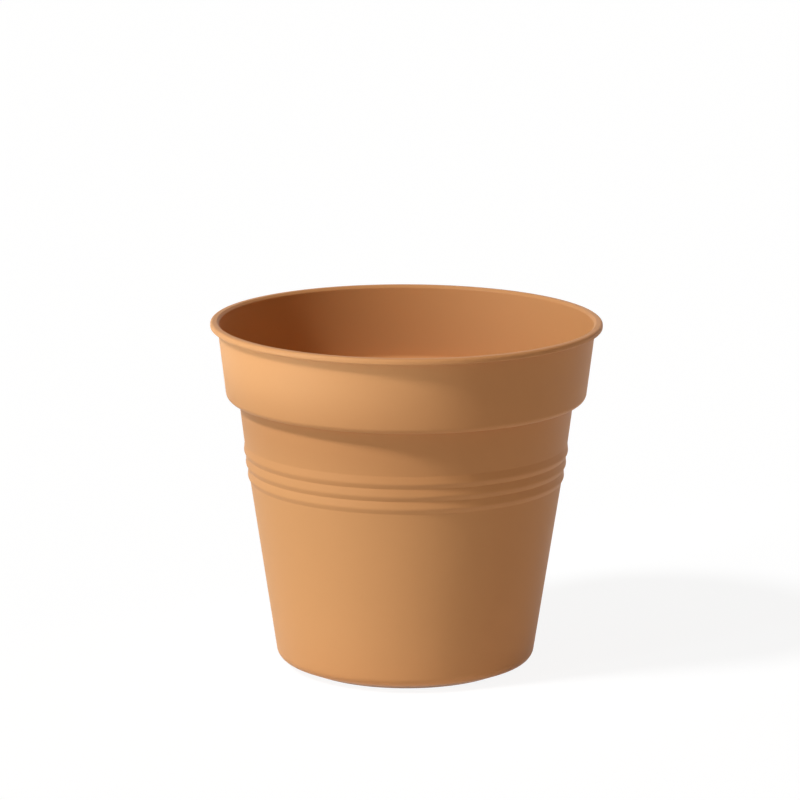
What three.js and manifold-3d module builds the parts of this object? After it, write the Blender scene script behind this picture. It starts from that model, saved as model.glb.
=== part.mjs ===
// A round plastic plant pot, injection moulded in one piece: a tapered body on a ring foot,
// three shallow ribs round it, a wide collar with a ledge under it, and a rounded lip.
// Millimetres, +Z up. The origin is the middle of the plane that the foot stands on.
import * as THREE from 'three';
import { mergeVertices } from 'three/addons/utils/BufferGeometryUtils.js';
import Module from 'manifold-3d';

// Heights above the ground
const potHeight = 188.4;
const collarHeight = 146.7; // underside of the ledge below the collar
const ribsHeight = 122.3; // top of the highest rib
const baseHeight = 5.1; // where the wall turns in to the base's sloping edge

// Outer radii. The body's taper changes at the bend, under the highest rib.
const collarTopRadius = 101.1;
const collarLowRadius = 96.35;
const neckRadius = 89.9;
const bendRadius = 85.9;
const baseRadius = 69.05;
const footRadius = 56.4;

// Plastic
const wall = 1.2;
const floorThickness = 2.0;
const footThickness = 2.6;

// Lip: a flange that stands out from the collar. The inside opens out by the flare at its top.
const lipThickness = 3.2;
const lipReach = 3.9;
const lipFlare = 1.2;
const lipFlareDepth = 1.2;

// Rounded edges
const baseCornerRound = 6.4;
const footRound = 2.5;
const collarCornerRound = 3.5;
const neckRound = 1.0;
const lipUpperRound = 1.5;
const lipLowerRound = 0.8;
const lipInnerRound = 0.4;
const lipFlareRound = 1.0;
const smallRound = 0.8;

// Ribs: each swells gently from above and turns back in more steeply below its crest
const ribCount = 3;
const ribPitch = 6.95;
const ribProud = 0.95;
const ribSteepSide = 2.6;
const ribCrestRound = 3.0;
const ribGrooveRound = 0.8;

// Foot ring, and the floor raised inside it
const footWidth = 5.0;
const floorLift = 3.0;
const riserRun = 2.5;

// Drainage: holes through the raised floor, and grooves that let the water out under the foot
const holeRadius = 5.0;
const holeCount = 6;
const holeCircleRadius = 36.0;
const grooveCount = 3;
const grooveWidth = 6.0;
const grooveDepth = 1.2;
const firstAngle = Math.PI / 6;

// Facets
const turnSegments = 72;
const holeSegments = 20;
const arcStep = Math.PI / 6;
const mergeDistance = 1e-4;

const sideShare = 0.49; // the most of a side that one rounded corner may use
const cutPast = 2.0; // how far a cutting shape runs past the plastic that it cuts

// Radius at a height on a straight wall between two points given as [radius, height]
function wallRadius(low, high, height) {
  const share = (height - low[1]) / (high[1] - low[1]);
  return low[0] + (high[0] - low[0]) * share;
}

const bendHeight = ribsHeight - ribPitch;
const lipUnderside = potHeight - lipThickness;
const lipRadius = collarTopRadius + lipReach;
const footInner = footRadius - footWidth;

function bodyRadius(height) {
  const bend = [bendRadius, bendHeight];
  if (height < bendHeight) {
    return wallRadius([baseRadius, baseHeight], bend, height);
  }
  return wallRadius(bend, [neckRadius, collarHeight], height);
}

function collarRadius(height) {
  return wallRadius([collarLowRadius, collarHeight], [collarTopRadius, lipUnderside], height);
}

// A profile corner: a point on the section, and the radius that it is rounded to
function corner(radius, height, round = 0) {
  return { at: new THREE.Vector2(radius, height), round };
}

// Turns a list of corners into points, each rounded corner as an arc that meets both sides
function roundCorners(corners) {
  const points = [];
  corners.forEach((here, i) => {
    if (here.round === 0) {
      points.push(here.at.clone());
      return;
    }
    const toLast = corners[i - 1].at.clone().sub(here.at);
    const toNext = corners[i + 1].at.clone().sub(here.at);
    const room = Math.min(toLast.length(), toNext.length()) * sideShare;
    toLast.normalize();
    toNext.normalize();
    const halfAngle = Math.acos(THREE.MathUtils.clamp(toLast.dot(toNext), -1, 1)) / 2;
    const setback = Math.min(here.round / Math.tan(halfAngle), room);
    const round = setback * Math.tan(halfAngle);
    const middle = toLast.clone().add(toNext).normalize();
    const centre = here.at.clone().addScaledVector(middle, round / Math.sin(halfAngle));
    const start = here.at.clone().addScaledVector(toLast, setback).sub(centre);
    const end = here.at.clone().addScaledVector(toNext, setback).sub(centre);
    const turn = Math.atan2(start.cross(end), start.dot(end));
    const steps = Math.max(1, Math.round(Math.abs(turn) / arcStep));
    for (let step = 0; step <= steps; step += 1) {
      const angle = (turn * step) / steps;
      points.push(start.clone().rotateAround(new THREE.Vector2(), angle).add(centre));
    }
  });
  return points;
}

// The ribs' corners from the bottom up: the foot of each rib, then its crest
function ribCorners() {
  const corners = [];
  for (let rib = ribCount; rib > 0; rib -= 1) {
    const foot = ribsHeight - rib * ribPitch;
    const crest = foot + ribSteepSide;
    corners.push(corner(bodyRadius(foot), foot, ribGrooveRound));
    corners.push(corner(bodyRadius(crest) + ribProud, crest, ribCrestRound));
  }
  corners.push(corner(bodyRadius(ribsHeight), ribsHeight, ribCrestRound));
  return corners;
}

// The outside, from the middle of the floor's underside to the top of the lip
function outsideCorners() {
  return [
    corner(0, floorLift),
    corner(footInner - riserRun, floorLift, smallRound),
    corner(footInner, 0, smallRound),
    corner(footRadius, 0, footRound),
    corner(baseRadius, baseHeight, baseCornerRound),
    ...ribCorners(),
    corner(neckRadius, collarHeight, neckRound),
    corner(collarLowRadius, collarHeight, collarCornerRound),
    corner(collarTopRadius, lipUnderside, smallRound),
    corner(lipRadius, lipUnderside, lipLowerRound),
    corner(lipRadius, potHeight, lipUpperRound),
  ];
}

// The inside, from the top of the lip down to the middle of the floor
function insideCorners() {
  const flareFoot = potHeight - lipFlareDepth;
  const ledge = collarHeight + wall;
  const baseTurn = baseHeight + wall;
  const floorTop = floorLift + floorThickness;
  const gutterInner = footInner + wall;
  return [
    corner(collarRadius(potHeight) - wall + lipFlare, potHeight, lipInnerRound),
    corner(collarRadius(flareFoot) - wall, flareFoot, lipFlareRound),
    corner(collarRadius(ledge) - wall, ledge, collarCornerRound - wall),
    corner(neckRadius - wall, ledge, neckRound + wall),
    corner(bendRadius - wall, bendHeight),
    corner(bodyRadius(baseTurn) - wall, baseTurn, baseCornerRound - wall),
    corner(footRadius, footThickness, smallRound),
    corner(gutterInner, footThickness, smallRound),
    corner(gutterInner - riserRun, floorTop, smallRound),
    corner(0, floorTop),
  ];
}

const wasm = await Module();
wasm.setup();

// A closed three.js geometry as a solid, with its shared vertices merged
function solidFrom(geometry) {
  geometry.deleteAttribute('normal');
  geometry.deleteAttribute('uv');
  const merged = mergeVertices(geometry, mergeDistance);
  const index = merged.index.array;
  const triangles = [];
  for (let i = 0; i < index.length; i += 3) {
    const [a, b, c] = [index[i], index[i + 1], index[i + 2]];
    if (a !== b && b !== c && c !== a) {
      triangles.push(a, b, c);
    }
  }
  return new wasm.Manifold(new wasm.Mesh({
    numProp: 3,
    vertProperties: new Float32Array(merged.attributes.position.array),
    triVerts: new Uint32Array(triangles),
  }));
}

function geometryFrom(solid) {
  const mesh = solid.getMesh();
  const geometry = new THREE.BufferGeometry();
  geometry.setAttribute('position', new THREE.BufferAttribute(mesh.vertProperties, 3));
  geometry.setIndex(new THREE.BufferAttribute(mesh.triVerts, 1));
  geometry.computeVertexNormals();
  return geometry;
}

function turnedShell() {
  const section = roundCorners([...outsideCorners(), ...insideCorners()]);
  const geometry = new THREE.LatheGeometry(section, turnSegments);
  geometry.rotateX(Math.PI / 2);
  return solidFrom(geometry);
}

function drainHole(x, y) {
  const length = floorThickness + 2 * cutPast;
  const geometry = new THREE.CylinderGeometry(holeRadius, holeRadius, length, holeSegments);
  geometry.rotateX(Math.PI / 2);
  geometry.translate(x, y, floorLift + floorThickness / 2);
  return solidFrom(geometry);
}

// A groove under the foot, from the hollow under the floor out past the base
function footGroove(angle) {
  const length = baseRadius - holeCircleRadius;
  const height = grooveDepth + cutPast;
  const geometry = new THREE.BoxGeometry(length, grooveWidth, height);
  geometry.translate(holeCircleRadius + length / 2, 0, grooveDepth - height / 2);
  geometry.rotateZ(angle);
  return solidFrom(geometry);
}

function pot() {
  let solid = turnedShell().subtract(drainHole(0, 0));
  for (let i = 0; i < holeCount; i += 1) {
    const angle = firstAngle + (i * 2 * Math.PI) / holeCount;
    const x = holeCircleRadius * Math.cos(angle);
    const y = holeCircleRadius * Math.sin(angle);
    solid = solid.subtract(drainHole(x, y));
  }
  for (let i = 0; i < grooveCount; i += 1) {
    solid = solid.subtract(footGroove(Math.PI / 2 + (i * 2 * Math.PI) / grooveCount));
  }
  const material = new THREE.MeshStandardMaterial({ color: 0xc98f5f, roughness: 0.5, metalness: 0 });
  const mesh = new THREE.Mesh(geometryFrom(solid), material);
  mesh.name = 'pot';
  return mesh;
}

const part = new THREE.Group();
part.add(pot());

export default part;
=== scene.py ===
import math

import bpy
from mathutils import Matrix, Vector
from mathutils.geometry import delaunay_2d_cdt


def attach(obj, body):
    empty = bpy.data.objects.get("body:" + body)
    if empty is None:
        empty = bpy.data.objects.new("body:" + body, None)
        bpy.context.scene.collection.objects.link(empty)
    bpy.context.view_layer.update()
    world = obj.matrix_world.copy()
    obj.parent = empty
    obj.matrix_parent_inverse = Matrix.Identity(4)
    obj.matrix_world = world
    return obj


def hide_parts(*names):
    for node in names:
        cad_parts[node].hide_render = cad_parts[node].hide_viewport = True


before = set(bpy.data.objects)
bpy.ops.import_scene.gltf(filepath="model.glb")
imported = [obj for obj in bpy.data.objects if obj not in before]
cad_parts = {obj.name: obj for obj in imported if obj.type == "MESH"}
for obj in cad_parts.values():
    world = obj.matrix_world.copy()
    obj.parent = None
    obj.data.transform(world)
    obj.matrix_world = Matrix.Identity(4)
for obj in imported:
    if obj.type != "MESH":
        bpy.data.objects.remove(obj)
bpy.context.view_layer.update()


# Camera
# It stands 2.5 m in front of the pot and 0.68 m up, with a long lens, and looks down by some
# 12 degrees. The angles are in radians: how far down, and how little it is turned and tilted.
scene = bpy.context.scene
camera_place = Vector((0, -2.52, 0.6838))
look_down = 0.210744
turned = -0.00132
tilted = 0.003469
sensor_width = 36.0
focal_length = 216.02
clip_end = 100

ahead = Vector((
    math.sin(turned) * math.cos(look_down),
    math.cos(turned) * math.cos(look_down),
    -math.sin(look_down),
))
level_right = Vector((math.cos(turned), -math.sin(turned), 0))
level_up = level_right.cross(ahead)
camera_right = level_right * math.cos(tilted) + level_up * math.sin(tilted)
camera_up = level_up * math.cos(tilted) - level_right * math.sin(tilted)

lens = bpy.data.cameras.new("camera")
lens.sensor_width = sensor_width
lens.lens = focal_length
lens.clip_end = clip_end
camera = bpy.data.objects.new("camera", lens)
turn = Matrix((camera_right, camera_up, -ahead)).transposed().to_4x4()
camera.matrix_world = Matrix.Translation(camera_place) @ turn
scene.collection.objects.link(camera)
scene.camera = camera


# Pot
# The whole pot is one injection moulding in terracotta-coloured polypropylene, with a fine satin
# surface from the mould. Nothing is fixed to it. Sizes are in millimetres, a wall's radius is its
# outer one, and heights are above the ground.
MM = 0.001

pot_height = 188.4
collar_height = 146.7  # underside of the ledge below the collar
ribs_height = 122.3  # top of the highest rib
base_height = 5.1  # where the wall turns in to the base's sloping edge
collar_top_radius = 101.1
collar_low_radius = 96.35
neck_radius = 89.9
bend_radius = 85.9
base_radius = 69.05
foot_radius = 56.4
wall = 1.2
floor_thickness = 2.0
foot_thickness = 2.6

lip_thickness = 3.2
lip_reach = 3.9
lip_flare = 1.2
lip_flare_depth = 1.2

base_corner_round = 6.4
foot_round = 2.5
collar_corner_round = 3.5
neck_round = 1.0
bend_round = 1.0
lip_upper_round = 1.5
lip_lower_round = 0.8
lip_inner_round = 0.4
lip_flare_round = 1.0
small_round = 0.8

rib_count = 3
rib_pitch = 6.95
rib_proud = 0.95
rib_steep_side = 2.6
rib_crest_round = 3.0
rib_groove_round = 0.8

foot_width = 5.0
floor_lift = 3.0
riser_run = 2.5
disc_margin = 3.0  # flat ring between the riser and the disc that the holes go through

hole_radius = 5.0
hole_edge_round = 0.5
hole_count = 6
hole_circle_radius = 36.0
first_hole = math.radians(30)

groove_count = 3
groove_width = 6.0
groove_depth = 1.2
groove_side = 1.2
first_groove = math.radians(90)

bend_height = ribs_height - rib_pitch
lip_underside = pot_height - lip_thickness
lip_radius = collar_top_radius + lip_reach
flare_foot = pot_height - lip_flare_depth
foot_inner = foot_radius - foot_width
floor_top = floor_lift + floor_thickness
disc_radius = foot_inner - riser_run - disc_margin

arc_step = math.radians(7.5)
side_share = 0.49  # the most of a side that one rounded corner may use
guard = 0.35  # how far from a flat side's end the extra ring stands that keeps it flat
shortest_divided = 4 * guard
longest_side = 7.0
turn_steps = 240
groove_steps = 10  # closer steps on each side of a groove's middle
hole_steps = 48
hole_edge_steps = 4


def between(low, high, height):
    """Radius at a height on a straight wall between two (radius, height) points."""
    share = (height - low[1]) / (high[1] - low[1])
    return low[0] + (high[0] - low[0]) * share


def body_radius(height):
    bend = (bend_radius, bend_height)
    if height < bend_height:
        return between((base_radius, base_height), bend, height)
    return between(bend, (neck_radius, collar_height), height)


def collar_radius(height):
    return between((collar_low_radius, collar_height), (collar_top_radius, lip_underside), height)


def rounded_corner(before, here, after, round_):
    """Points of the arc that rounds a corner off, from one side to the other."""
    back = before - here
    on = after - here
    room = min(back.length, on.length) * side_share
    half_angle = back.angle(on) / 2
    setback = min(round_ / math.tan(half_angle), room)
    arc_radius = setback * math.tan(half_angle)
    middle = (back.normalized() + on.normalized()).normalized()
    centre = here + middle * (arc_radius / math.sin(half_angle))
    start = here + back.normalized() * setback - centre
    end = here + on.normalized() * setback - centre
    sweep = math.atan2(start.x * end.y - start.y * end.x, start.dot(end))
    steps = max(2, round(abs(sweep) / arc_step))
    return [centre + Matrix.Rotation(sweep * i / steps, 2) @ start for i in range(steps + 1)]


def rounded_path(corners):
    """Points of a path of (radius, height, round) corners, each rounded where its round isn't 0.
    Long sides are divided, with a point close to each end that keeps their shading flat."""
    places = [Vector((radius, height)) for radius, height, _ in corners]
    points = []
    for i, (_, _, round_) in enumerate(corners):
        if round_:
            stretch = rounded_corner(places[i - 1], places[i], places[i + 1], round_)
        else:
            stretch = [places[i]]
        if points:
            start, end = points[-1], stretch[0]
            length = (end - start).length
            if length > shortest_divided:
                parts = max(1, math.ceil(length / longest_side))
                inner = [part / parts for part in range(1, parts)]
                for stop in [guard / length, *inner, 1 - guard / length]:
                    points.append(start.lerp(end, stop))
        points += stretch
    return points


def rib_corners():
    """The ribs from the lowest up: the foot of each, then its crest."""
    corners = []
    for rib in range(rib_count, 0, -1):
        foot = ribs_height - rib * rib_pitch
        crest = foot + rib_steep_side
        corners.append((body_radius(foot), foot, rib_groove_round))
        corners.append((body_radius(crest) + rib_proud, crest, rib_crest_round))
    corners.append((body_radius(ribs_height), ribs_height, rib_crest_round))
    return corners


# The half section, from the floor's underside round the outside, over the lip and down inside
ledge = collar_height + wall
base_turn = base_height + wall
section = rounded_path([
    (disc_radius, floor_lift, 0),
    (foot_inner - riser_run, floor_lift, small_round),
    (foot_inner, 0, small_round),
    (foot_radius, 0, foot_round),
    (base_radius, base_height, base_corner_round),
    *rib_corners(),
    (neck_radius, collar_height, neck_round),
    (collar_low_radius, collar_height, collar_corner_round),
    (collar_top_radius, lip_underside, small_round),
    (lip_radius, lip_underside, lip_lower_round),
    (lip_radius, pot_height, lip_upper_round),
    (collar_radius(pot_height) - wall + lip_flare, pot_height, lip_inner_round),
    (collar_radius(flare_foot) - wall, flare_foot, lip_flare_round),
    (collar_radius(ledge) - wall, ledge, collar_corner_round - wall),
    (neck_radius - wall, ledge, neck_round + wall),
    (bend_radius - wall, bend_height, bend_round),
    (body_radius(base_turn) - wall, base_turn, base_corner_round - wall),
    (foot_radius, foot_thickness, small_round),
    (foot_inner + wall, foot_thickness, small_round),
    (foot_inner + wall - riser_run, floor_top, small_round),
    (disc_radius, floor_top, 0),
])

groove_angles = [first_groove + i * 2 * math.pi / groove_count for i in range(groove_count)]


def turn_angles():
    """Even steps round the pot, with closer ones across the foot's drain grooves."""
    even = [i * 2 * math.pi / turn_steps for i in range(turn_steps)]
    reach = math.asin((groove_width / 2 + groove_side) / foot_inner)
    angles = []
    for angle in even:
        near = [abs(math.remainder(angle - groove, 2 * math.pi)) for groove in groove_angles]
        if min(near) > reach:
            angles.append(angle)
    for groove in groove_angles:
        for i in range(-groove_steps, groove_steps + 1):
            angles.append((groove + reach * i / groove_steps) % (2 * math.pi))
    return sorted(angles)


def groove_lift(x, y):
    """How high the foot's underside is cut at a place."""
    best = 0.0
    for angle in groove_angles:
        along = x * math.cos(angle) + y * math.sin(angle)
        across = abs(y * math.cos(angle) - x * math.sin(angle))
        if along > 0:
            share = (groove_width / 2 + groove_side / 2 - across) / groove_side
            share = min(1.0, max(0.0, share))
            best = max(best, groove_depth * share * share * (3 - 2 * share))
    return best


def join_rings(faces, first, second):
    """Adds the band of faces between two rings with as many points each."""
    for i in range(len(first)):
        j = (i + 1) % len(first)
        faces.append((first[i], first[j], second[j], second[i]))


def turned_wall(vertices, faces):
    """Turns the section round the pot's axis, and gives the rings of points that it makes."""
    angles = turn_angles()
    rings = []
    for point in section:
        ring = []
        for angle in angles:
            x = point.x * math.cos(angle)
            y = point.x * math.sin(angle)
            ring.append(len(vertices))
            vertices.append((x, y, max(point.y, groove_lift(x, y))))
        rings.append(ring)
    for low, high in zip(rings, rings[1:]):
        join_rings(faces, low, high)
    return rings


def drain_hole(vertices, faces, x, y):
    """Makes a hole's wall with its two rounded edges, and gives its rings from the top down."""
    upper = [(hole_radius + hole_edge_round + 2 * guard, 0.0)]
    for step in range(hole_edge_steps + 1):
        turn = step * math.pi / 2 / hole_edge_steps
        out = hole_edge_round * (1 - math.sin(turn))
        upper.append((hole_radius + out, hole_edge_round * (1 - math.cos(turn))))
    lower = [(radius, floor_thickness - depth) for radius, depth in reversed(upper)]
    rings = []
    for radius, depth in upper + lower:
        ring = []
        for step in range(hole_steps):
            turn = step * 2 * math.pi / hole_steps
            ring.append(len(vertices))
            place = (x + radius * math.cos(turn), y + radius * math.sin(turn), floor_top - depth)
            vertices.append(place)
        rings.append(ring)
    for high, low in zip(rings, rings[1:]):
        join_rings(faces, high, low)
    return rings


def fill_floor(vertices, faces, top_loops, bottom_loops):
    """Fills the floor's upper and lower face. The first loop is its rim, the others are holes."""
    top = [i for loop in top_loops for i in loop]
    bottom = [i for loop in bottom_loops for i in loop]
    edges = []
    loop_of = []
    for number, loop in enumerate(top_loops):
        start = len(loop_of)
        edges += [(start + i, start + (i + 1) % len(loop)) for i in range(len(loop))]
        loop_of += [number] * len(loop)
    places = [Vector(vertices[i][:2]) for i in top]
    out_to_hull = 0
    same_place = 1e-5
    _, _, triangles, sources, _, _ = delaunay_2d_cdt(places, edges, [], out_to_hull, same_place)
    for triangle in triangles:
        a, b, c = [sources[i][0] for i in triangle]
        over_hole = loop_of[a] > 0 and loop_of[a] == loop_of[b] == loop_of[c]
        if not over_hole:
            faces.append((top[a], top[b], top[c]))
            faces.append((bottom[a], bottom[c], bottom[b]))


def pot_mesh():
    vertices = []
    faces = []
    rings = turned_wall(vertices, faces)
    holes = [drain_hole(vertices, faces, 0.0, 0.0)]
    for i in range(hole_count):
        angle = first_hole + i * 2 * math.pi / hole_count
        x = hole_circle_radius * math.cos(angle)
        y = hole_circle_radius * math.sin(angle)
        holes.append(drain_hole(vertices, faces, x, y))
    top_loops = [rings[-1]] + [hole[0] for hole in holes]
    bottom_loops = [rings[0]] + [hole[-1] for hole in holes]
    fill_floor(vertices, faces, top_loops, bottom_loops)

    mesh = bpy.data.meshes.new("pot_moulding")
    mesh.from_pydata([Vector(place) * MM for place in vertices], [], faces)
    mesh.validate()
    mesh.polygons.foreach_set("use_smooth", [True] * len(mesh.polygons))
    mesh.update()
    return mesh


class Shade:
    """A socket of a material's nodes, which Python's operators turn into Math nodes."""

    def __init__(self, tree, socket):
        self.tree = tree
        self.socket = socket

    def maths(self, operation, left, right, clamp=False):
        settings = {"operation": operation, "use_clamp": clamp}
        return node(self.tree, "ShaderNodeMath", settings, {0: left, 1: right})

    def __add__(self, other):
        return self.maths("ADD", self, other)

    def __radd__(self, other):
        return self.maths("ADD", other, self)

    def __sub__(self, other):
        return self.maths("SUBTRACT", self, other)

    def __rsub__(self, other):
        return self.maths("SUBTRACT", other, self)

    def __mul__(self, other):
        return self.maths("MULTIPLY", self, other)

    def __rmul__(self, other):
        return self.maths("MULTIPLY", other, self)

    def limited(self):
        """The same value, kept from 0 to 1."""
        return self.maths("ADD", self, 0.0, clamp=True)


def node(tree, kind, settings, inputs, output=0):
    """Adds a node, sets it, then fills its sockets with values or links, and gives an output."""
    made = tree.nodes.new(kind)
    for name, value in settings.items():
        setattr(made, name, value)
    for name, value in inputs.items():
        if isinstance(value, Shade):
            tree.links.new(value.socket, made.inputs[name])
        else:
            made.inputs[name].default_value = value
    return Shade(tree, made.outputs[output]) if made.outputs else None


def mixed_colour(tree, share, first, second):
    """Goes from the first colour to the second as the share goes from 0 to 1."""
    colours = {0: share, 6: (*first, 1), 7: (*second, 1)}
    return node(tree, "ShaderNodeMix", {"data_type": "RGBA"}, colours, 2)


def new_material(name):
    material = bpy.data.materials.new(name)
    material.use_nodes = True
    material.node_tree.nodes.clear()
    return material, material.node_tree


deep_colour = (0.650, 0.299, 0.115)
pale_colour = (0.670, 0.311, 0.121)
noise_middle = 0.5
flow_in_colour = 0.5
grain_in_colour = 0.35
mean_roughness = 0.50
flow_in_roughness = 0.10
grain_in_roughness = 0.10
grain_height = 0.00004  # metres


def terracotta_plastic():
    """Pigmented polypropylene: nearly even, with faint flow marks and a fine moulded grain."""
    material, tree = new_material("terracotta_plastic")
    place = node(tree, "ShaderNodeTexCoord", {}, {}, "Object")
    flow = node(tree, "ShaderNodeTexNoise", {}, {
        "Vector": place, "Scale": 22.0, "Detail": 3.0, "Roughness": 0.5, "Distortion": 0.4,
    })
    grain = node(tree, "ShaderNodeTexNoise", {}, {
        "Vector": place, "Scale": 1400.0, "Detail": 2.0, "Roughness": 0.6,
    })
    flow_swing = flow - noise_middle
    grain_swing = grain - noise_middle
    pigment = flow_swing * flow_in_colour + grain_swing * grain_in_colour + noise_middle
    colour = mixed_colour(tree, pigment.limited(), deep_colour, pale_colour)
    roughness = flow_swing * flow_in_roughness + grain_swing * grain_in_roughness + mean_roughness
    bump = node(tree, "ShaderNodeBump", {}, {
        "Strength": 0.12, "Distance": grain_height, "Height": grain,
    })
    surface = node(tree, "ShaderNodeBsdfPrincipled", {}, {
        "Base Color": colour, "Roughness": roughness, "Normal": bump, "IOR": 1.49,
        "Specular IOR Level": 0.15,
    })
    node(tree, "ShaderNodeOutputMaterial", {}, {"Surface": surface})
    return material


pot = bpy.data.objects.new("moulded_pot", pot_mesh())
pot.data.materials.append(terracotta_plastic())
scene.collection.objects.link(pot)
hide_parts("pot")
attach(pot, "root")


# Floor
# A plain white studio table that the pot stands on. The camera sees it as white paper with the
# pot's soft shadow, and it can't be seen from below, so the pot's underside can be looked at.
half_floor = 30.0  # metres
shadow_grey = (0.15, 0.15, 0.15, 1)
paper_white = (0.8, 0.8, 0.8, 1)
paper_glow = 0.9


def seen_directly(tree):
    """1 for what the camera sees, also in a gloss or through glass, and 0 for other light."""
    camera_ray, glossy_ray, transmission_ray = [
        node(tree, "ShaderNodeLightPath", {}, {}, kind)
        for kind in ("Is Camera Ray", "Is Glossy Ray", "Is Transmission Ray")
    ]
    return (camera_ray + glossy_ray + transmission_ray).limited()


def white_paper():
    """White where it is seen, darker in a shadow, and clear from below."""
    material, tree = new_material("white_paper")
    lit = node(tree, "ShaderNodeBsdfDiffuse", {}, {"Color": shadow_grey})
    glow = node(tree, "ShaderNodeEmission", {}, {"Color": (1, 1, 1, 1), "Strength": paper_glow})
    shown = node(tree, "ShaderNodeAddShader", {}, {0: lit, 1: glow})
    bounce = node(tree, "ShaderNodeBsdfDiffuse", {}, {"Color": paper_white})
    front = node(tree, "ShaderNodeMixShader", {}, {0: seen_directly(tree), 1: bounce, 2: shown})
    clear = node(tree, "ShaderNodeBsdfTransparent", {}, {})
    behind = node(tree, "ShaderNodeNewGeometry", {}, {}, "Backfacing")
    both = node(tree, "ShaderNodeMixShader", {}, {0: behind, 1: front, 2: clear})
    node(tree, "ShaderNodeOutputMaterial", {}, {"Surface": both})
    return material


floor_mesh = bpy.data.meshes.new("floor")
sides = ((-1, -1), (1, -1), (1, 1), (-1, 1))
floor_corners = [(x * half_floor, y * half_floor, 0) for x, y in sides]
floor_mesh.from_pydata(floor_corners, [], [(0, 1, 2, 3)])
floor_mesh.materials.append(white_paper())
floor = bpy.data.objects.new("floor", floor_mesh)
scene.collection.objects.link(floor)


# Light
# A studio's main light stands at the left, in front and high, and the wide lights round it are
# softboxes and the white room. Each is far away: degrees round from the front, degrees up, its
# width in degrees, colour and strength.
lamps = [
    ("key", -58, 46.5, 9, (0.98, 1.0, 1.03), 0.74),
    ("left", -58, 3, 50, (1.0, 0.94, 0.82), 0.25),
    ("far_left", -90, 3, 50, (0.6, 1.0, 1.05), 0.17),
    ("right", 60, 32, 60, (0.94, 0.62, 0.33), 0.115),
]


def hang_lamp(lamp, azimuth, elevation, distance=0, height=0):
    """Hangs a lamp round from the front and up, in degrees, facing the pot's axis at a height."""
    azimuth = math.radians(azimuth)
    elevation = math.radians(elevation)
    x = math.sin(azimuth) * math.cos(elevation)
    y = -math.cos(azimuth) * math.cos(elevation)
    towards = Vector((x, y, math.sin(elevation)))
    holder = bpy.data.objects.new(lamp.name, lamp)
    holder.location = (towards * distance + Vector((0, 0, height))) * MM
    holder.rotation_mode = "QUATERNION"
    holder.rotation_quaternion = towards.to_track_quat("Z", "Y")
    scene.collection.objects.link(holder)
    return holder


for name, azimuth, elevation, width, colour, strength in lamps:
    lamp = bpy.data.lights.new(name, "SUN")
    lamp.angle = math.radians(width)
    lamp.color = colour
    lamp.energy = strength * math.pi
    hang_lamp(lamp, azimuth, elevation)

# Two strip softboxes with tight grids stand at the left, so that neither lights the wall under
# the ledge: degrees round from the front, degrees up, the height that it is aimed at, its own
# height, colour and power.
strips = [
    ("collar_strip", -68, 0, 175, 30, (0.66, 0.86, 1.0), 0.030),
    ("body_strip", -50, 12, 48, 110, (0.58, 0.84, 0.94), 0.033),
]
strip_width = 360
strip_distance = 450
grid_spread = 10

for name, azimuth, elevation, aim, depth, colour, power in strips:
    lamp = bpy.data.lights.new(name, "AREA")
    lamp.shape = "RECTANGLE"
    lamp.size = strip_width * MM
    lamp.size_y = depth * MM
    lamp.spread = math.radians(grid_spread)
    lamp.color = colour
    lamp.energy = power
    holder = hang_lamp(lamp, azimuth, elevation, strip_distance, aim)
    holder.visible_camera = False

# The room is white where it is seen, and gives the pot only a little light of its own.
room_colour = (0.030, 0.024, 0.018)
white = (1, 1, 1)
room = bpy.data.worlds.new("room")
room.use_nodes = True
tree = room.node_tree
tree.nodes.clear()
colour = mixed_colour(tree, seen_directly(tree), room_colour, white)
sky = node(tree, "ShaderNodeBackground", {}, {"Color": colour, "Strength": 1.0})
node(tree, "ShaderNodeOutputWorld", {}, {"Surface": sky})
scene.world = room

scene.view_settings.view_transform = "Standard"
